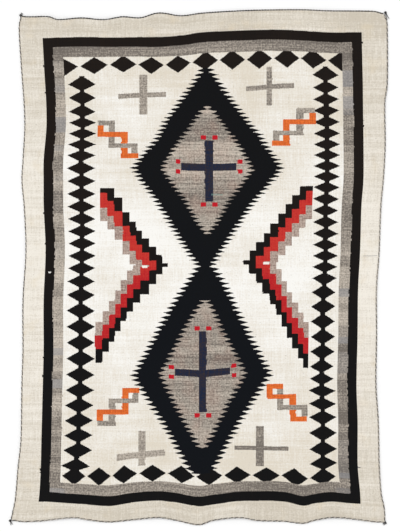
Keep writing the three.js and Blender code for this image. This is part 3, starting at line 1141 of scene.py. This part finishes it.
# Operators
class BLANKET_OT_stage(bpy.types.Operator):
    """Set up the camera straight above, the soft light and the pale floor"""

    bl_idname = "blanket.stage"
    bl_label = "Stage"

    def execute(self, context):
        lens = bpy.data.cameras.new("camera")
        lens.sensor_fit = "VERTICAL"
        lens.sensor_height = CAMERA_SENSOR
        lens.lens = CAMERA_LENS
        camera = placed("camera", lens)
        height = VIEW_HEIGHT * CAMERA_LENS / CAMERA_SENSOR
        camera.location = (VIEW_ACROSS, VIEW_UP, height)
        context.scene.camera = camera

        lamp = bpy.data.lights.new("window_light", "SUN")
        lamp.energy = SUN_STRENGTH
        lamp.angle = math.radians(SUN_SOFTNESS)
        light = placed("window_light", lamp)
        light.rotation_euler = (0, math.radians(-SUN_TILT), math.radians(-SUN_TURN))

        world = bpy.data.worlds.new("studio_air")
        world.use_nodes = True
        air = world.node_tree.nodes["Background"]
        air.inputs["Color"].default_value = (1, 1, 1, 1)
        air.inputs["Strength"].default_value = AIR_STRENGTH
        context.scene.world = world
        context.scene.view_settings.view_transform = "Standard"

        bm = bmesh.new()
        bmesh.ops.create_grid(bm, x_segments=1, y_segments=1, size=FLOOR_REACH)
        bmesh.ops.translate(bm, verts=bm.verts, vec=(0, 0, -FLOOR_GAP))
        recipe = Recipe("floor_paint")
        place = recipe.link("ShaderNodeTexCoord", output=3)
        shade = (recipe.cloud(place, FLOOR_CLOUDS) * 0.5 + 0.5).clamped()
        base = recipe.mix(shade, FLOOR_DARK, FLOOR_PALE)
        surface = recipe.link("ShaderNodeBsdfDiffuse", None, {"Color": base})
        recipe.node("ShaderNodeOutputMaterial", None, {"Surface": surface})
        floor = finished("floor", bm, recipe.material)
        return {"FINISHED"}


CAMERA_SENSOR = 36
CAMERA_LENS = 85
VIEW_HEIGHT = 1.9152
VIEW_ACROSS = -0.0058
VIEW_UP = 0.0022
SUN_STRENGTH = 1.25
SUN_SOFTNESS = 35
SUN_TILT = 38
SUN_TURN = 50
AIR_STRENGTH = 0.8
FLOOR_REACH = 60
FLOOR_GAP = 0.0002
FLOOR_CLOUDS = 3
FLOOR_DARK = (0.9, 0.9, 0.9)
FLOOR_PALE = (0.93, 0.93, 0.93)


class BLANKET_OT_edge_cords(bpy.types.Operator):
    """Twine the two-ply cords round the four edges"""

    bl_idname = "blanket.edge_cords"
    bl_label = "Edge cords"

    def execute(self, context):
        sizes = context.scene.blanket_sizes
        colours = context.scene.blanket_wools
        materials = {
            "twined_cord": twined_wool("twined_cord", colours, False),
            "twined_cord_dark": twined_wool("twined_cord_dark", colours, True),
        }
        for edge in EDGES:
            self.twine(edge, sizes, materials[edge.slot])
        return {"FINISHED"}

    def twine(self, edge, sizes, material):
        half_width = sizes.cloth_width / MM / 2
        half_length = sizes.cloth_length / MM / 2
        start = (edge.start.side * half_width, edge.start.end * half_length)
        finish = (edge.finish.side * half_width, edge.finish.end * half_length)
        cord_length = math.dist(start, finish) * MM
        radius = sizes.cord_diameter / 2
        ply_radius = radius * PLY_SHARE
        turns = cord_length / sizes.cord_twist
        rings = round(turns * sizes.cord_rings)
        setback = sizes.cord_setback / cord_length
        upright = edge.start.side == edge.finish.side

        def on_loom(share):
            return [a + (b - a) * share for a, b in zip(start, finish)]

        def lying(share):
            return lay_down(*on_loom(min(max(share, 0), 1)), half_width, half_length)

        run, centres, outs, depths = [], [], [], []
        for ring in range(rings + 1):
            share = setback + (1 - 2 * setback) * ring / rings
            heading = lying(share + EDGE_STEP) - lying(share - EDGE_STEP)
            out = Vector((heading.y, -heading.x, 0)).normalized()
            centre = lying(share) * MM + out * (radius + sizes.cord_gap)
            centre.z += radius
            across, up = on_loom(ring / rings)
            run.append(cord_length * ring / rings)
            centres.append(centre)
            outs.append(out)
            depths.append(along(edge.rows, "dark", up if upright else across))
        yarn = yarn_mesh()
        rise = Vector((0, 0, 1))
        for ply in (0, 1):

            def place(ring, share, ply=ply):
                angle = 2 * math.pi * (turns * ring / rings + ply / 2)
                swing = direction(outs[ring], rise, angle)
                offset = direction(outs[ring], rise, angle + 2 * math.pi * share)
                slub = 1 + SLUB_SHARE * noise.noise(Vector((run[ring] / SLUB_LENGTH, ply, 0)))
                point = centres[ring] + swing * (radius - ply_radius) + offset * ply_radius * slub
                # The floor presses a thick place flat
                point.z = max(point.z, 0)
                return point

            rolled_tube(yarn, sizes.ply_sides, place, run, depths, ply)
        bmesh.ops.recalc_face_normals(yarn[0], faces=yarn[0].faces)
        piece = finished(f"{edge.name}_twine", yarn[0], material)
        join_blanket(piece, edge.name, edge.slot)


PLY_SHARE = 0.53
SLUB_LENGTH = 0.022
SLUB_SHARE = 0.45
EDGE_STEP = 0.004


class BLANKET_OT_corner_knots(bpy.types.Operator):
    """Tie a knot with frayed tails at each corner"""

    bl_idname = "blanket.corner_knots"
    bl_label = "Corner knots"

    def execute(self, context):
        sizes = context.scene.blanket_sizes
        material = twined_wool("knotted_ply", context.scene.blanket_wools, True)
        for corner in CORNERS:
            self.tie(corner, sizes, material)
        return {"FINISHED"}

    def tie(self, corner, sizes, material):
        half_width = sizes.cloth_width / MM / 2
        half_length = sizes.cloth_length / MM / 2
        place = (corner.side * half_width, corner.end * half_length)
        point = lay_down(*place, half_width, half_length)
        middle = (point + Vector((corner.knot_out, corner.knot_up, 0))) * MM
        middle.z += (sizes.knot_radius + sizes.knot_ply) / 2
        turned = Matrix.Translation(middle) @ Matrix.Rotation(math.radians(corner.turn), 4, "Z")
        tail = corner.tail * MM
        route = [turned @ spot for spot in knot_route(sizes.knot_radius, sizes.knot_ply, tail)]
        yarn = yarn_mesh()
        points = smooth_route(route, KNOT_FINENESS)
        ply_tube(yarn, points, sizes.knot_ply / 2, KNOT_SIDES, KNOT_DARK)
        chance = random.Random(corner.name)
        for tip, inner in ((route[0], route[1]), (route[-1], route[-2])):
            heading = (tip - inner).normalized()
            for _ in range(sizes.knot_fibres):
                points = smooth_route(self.fibre(tip, heading, tail, sizes, chance), FIBRE_FINENESS)
                ply_tube(yarn, points, FIBRE_RADIUS, FIBRE_SIDES, FIBRE_DARK)
        bmesh.ops.recalc_face_normals(yarn[0], faces=yarn[0].faces)
        piece = finished(f"corner_knot_{corner.name}_tied", yarn[0], material)
        join_blanket(piece, f"corner_knot_{corner.name}", "knotted_ply")

    @staticmethod
    def fibre(tip, heading, tail, sizes, chance):
        """A loose fibre's route, from inside the tail's end and down to the surface."""
        spread = chance.uniform(-FIBRE_SPREAD, FIBRE_SPREAD)
        aim = Matrix.Rotation(spread, 3, "Z") @ heading
        reach = sizes.fibre_share * tail * chance.uniform(FIBRE_SHORTEST, 1)
        scatter = Vector([chance.uniform(-1, 1) for _ in range(3)]) * sizes.knot_ply
        start = tip - heading * sizes.knot_ply / 2 + scatter * FIBRE_SCATTER
        aside = Vector((-aim.y, aim.x, 0)) * chance.uniform(-FIBRE_CURL, FIBRE_CURL)
        rest = FIBRE_RADIUS * FIBRE_REST
        route = [start]
        for step in range(1, FIBRE_STEPS + 1):
            share = step / FIBRE_STEPS
            place = start + (aim + aside * share * share) * reach * share
            place.z = max(start.z + (rest - start.z) * share * share, rest)
            route.append(place)
        return route


KNOT_FINENESS = 8
KNOT_SIDES = 14
KNOT_DARK = 1
FIBRE_RADIUS = 0.00016
FIBRE_SIDES = 4
FIBRE_FINENESS = 3
FIBRE_STEPS = 4
FIBRE_DARK = 0.3
FIBRE_SPREAD = 0.55
FIBRE_SHORTEST = 0.45
FIBRE_SCATTER = 0.25
FIBRE_CURL = 0.3
FIBRE_REST = 1.2
KNOT_POINTS = 18
KNOT_TURNS = 2
KNOT_LOBE_RATE = 1.5
KNOT_OPENING = 0.38
TAIL_SPREAD = 0.0013


def knot_route(radius, ply, tail):
    """An overhand knot: three lobes opened at one, whose two tails run out along +X."""
    route = []
    full_turn = KNOT_TURNS * 2 * math.pi
    for i in range(KNOT_POINTS + 1):
        angle = KNOT_OPENING + (full_turn - 2 * KNOT_OPENING) * i / KNOT_POINTS
        lobe = KNOT_LOBE_RATE * angle
        reach = radius * (1 + math.cos(lobe) / 2)
        height = radius / 2 * math.sin(lobe)
        route.append(Vector((reach * math.cos(angle), reach * math.sin(angle), height)))
    first, last = route[0], route[-1]
    for end, sign, place in ((first, 1, 0), (last, -1, len(route))):
        bend = Vector((end.x + ply, end.y - sign * TAIL_SPREAD / 4, end.z / 2))
        tip = Vector((end.x + tail, end.y + sign * TAIL_SPREAD, -radius / 2))
        if place:
            route += [bend, tip]
        else:
            route = [tip, bend] + route
    return route


def smooth_route(route, fineness):
    """Points on a smooth curve through a route."""
    points = []
    for i in range(len(route) - 1):
        before = route[max(i - 1, 0)]
        start = route[i]
        finish = route[i + 1]
        after = route[min(i + 2, len(route) - 1)]
        for step in range(fineness):
            t = step / fineness
            points.append(
                0.5
                * (
                    2 * start
                    + (finish - before) * t
                    + (2 * before - 5 * start + 4 * finish - after) * t * t
                    + (3 * start - before - 3 * finish + after) * t * t * t
                )
            )
    points.append(route[-1])
    return points


def ply_tube(yarn, points, radius, sides, depth):
    """A twisted yarn along these points, with two strands showing in its section."""
    last = len(points) - 1
    tangents = [
        (points[min(i + 1, last)] - points[max(i - 1, 0)]).normalized() for i in range(last + 1)
    ]
    normal = tangents[0].orthogonal().normalized()
    normals = []
    for tangent in tangents:
        normal = (normal - tangent * normal.dot(tangent)).normalized()
        normals.append(normal)
    run = [0]
    for before, after in zip(points, points[1:]):
        run.append(run[-1] + (after - before).length)

    def place(ring, share):
        angle = 2 * math.pi * share
        lobes = abs(math.cos(angle - run[ring] * PLY_LAY))
        reach = radius * (1 - LOBE_DEPTH + LOBE_DEPTH * lobes)
        side = tangents[ring].cross(normals[ring])
        return points[ring] + direction(normals[ring], side, angle) * reach

    rolled_tube(yarn, sides, place, run, [depth] * len(run))


PLY_LAY = 700
LOBE_DEPTH = 0.2


class BLANKET_OT_woven_cloth(bpy.types.Operator):
    """Weave the cloth and lay it down on the floor"""

    bl_idname = "blanket.woven_cloth"
    bl_label = "Woven cloth"

    def execute(self, context):
        sizes = context.scene.blanket_sizes
        half_width = sizes.cloth_width / 2
        half_length = sizes.cloth_length / 2
        bm = bmesh.new()
        bmesh.ops.create_grid(
            bm, x_segments=sizes.cells_across, y_segments=sizes.cells_along, size=1
        )
        bmesh.ops.scale(bm, verts=bm.verts, vec=(half_width, half_length, 1))
        loom = bm.loops.layers.uv.new("loom")
        for face in bm.faces:
            for corner in face.loops:
                corner[loom].uv = corner.vert.co.xy
        for vert in bm.verts:
            across, up = vert.co.xy
            place = lay_down(across / MM, up / MM, half_width / MM, half_length / MM) * MM
            from_edge = min(half_width - abs(across), half_length - abs(up))
            calm = fade(from_edge, sizes.cockle_margin)
            swell = noise.noise(Vector((across, up, 0)) / sizes.cockle_span) * 0.5 + 0.5
            place.z += sizes.cockle * swell * (1 - calm)
            vert.co = place
        raised = bmesh.ops.extrude_face_region(bm, geom=bm.faces[:])["geom"]
        tops = [part for part in raised if isinstance(part, bmesh.types.BMVert)]
        bmesh.ops.translate(bm, verts=tops, vec=(0, 0, sizes.cloth_thickness))
        bmesh.ops.recalc_face_normals(bm, faces=bm.faces)
        rim = [edge for edge in bm.edges if edge.calc_face_angle(0) > SHARP]
        bmesh.ops.bevel(
            bm,
            geom=rim,
            offset=sizes.cloth_thickness * RIM_ROUNDING,
            offset_type="OFFSET",
            affect="EDGES",
            segments=RIM_SEGMENTS,
            profile=0.5,
            material=-1,
        )
        material = tapestry_wool(sizes, context.scene.blanket_pattern, context.scene.blanket_wools)
        cloth = finished("tapestry_cloth", bm, material)
        join_blanket(cloth, "woven_cloth", "tapestry_wool")
        edging = [f"{edge.name}_twine" for edge in EDGES]
        edging += [f"corner_knot_{corner.name}_tied" for corner in CORNERS]
        return {"FINISHED"}


SHARP = 1
RIM_ROUNDING = 0.42
RIM_SEGMENTS = 3


# The sidebar and registration
class BLANKET_PT_sidebar(bpy.types.Panel):
    """The blanket's operators, sizes and colours"""

    bl_idname = "BLANKET_PT_sidebar"
    bl_label = "Navajo blanket"
    bl_space_type = "VIEW_3D"
    bl_region_type = "UI"
    bl_category = "Blanket"

    def draw(self, context):
        for operator in OPERATORS:
            self.layout.operator(operator.bl_idname)
        for group in SETTINGS:
            settings = getattr(context.scene, group)
            column = self.layout.column()
            for name in setting_names(settings):
                column.prop(settings, name)


SETTINGS = {
    "blanket_sizes": BlanketSizes,
    "blanket_pattern": PatternSizes,
    "blanket_wools": WoolColours,
}
OPERATORS = (
    BLANKET_OT_stage,
    BLANKET_OT_edge_cords,
    BLANKET_OT_corner_knots,
    BLANKET_OT_woven_cloth,
)
CLASSES = (*SETTINGS.values(), *OPERATORS, BLANKET_PT_sidebar)


def register():
    for each in CLASSES:
        bpy.utils.register_class(each)
    for name, group in SETTINGS.items():
        setattr(bpy.types.Scene, name, PointerProperty(type=group))


def unregister():
    for name in SETTINGS:
        delattr(bpy.types.Scene, name)
    for each in reversed(CLASSES):
        bpy.utils.unregister_class(each)


def main():
    register()
    bpy.ops.blanket.stage()
    bpy.ops.blanket.edge_cords()
    bpy.ops.blanket.corner_knots()
    bpy.ops.blanket.woven_cloth()


if __name__ == "__main__":
    main()
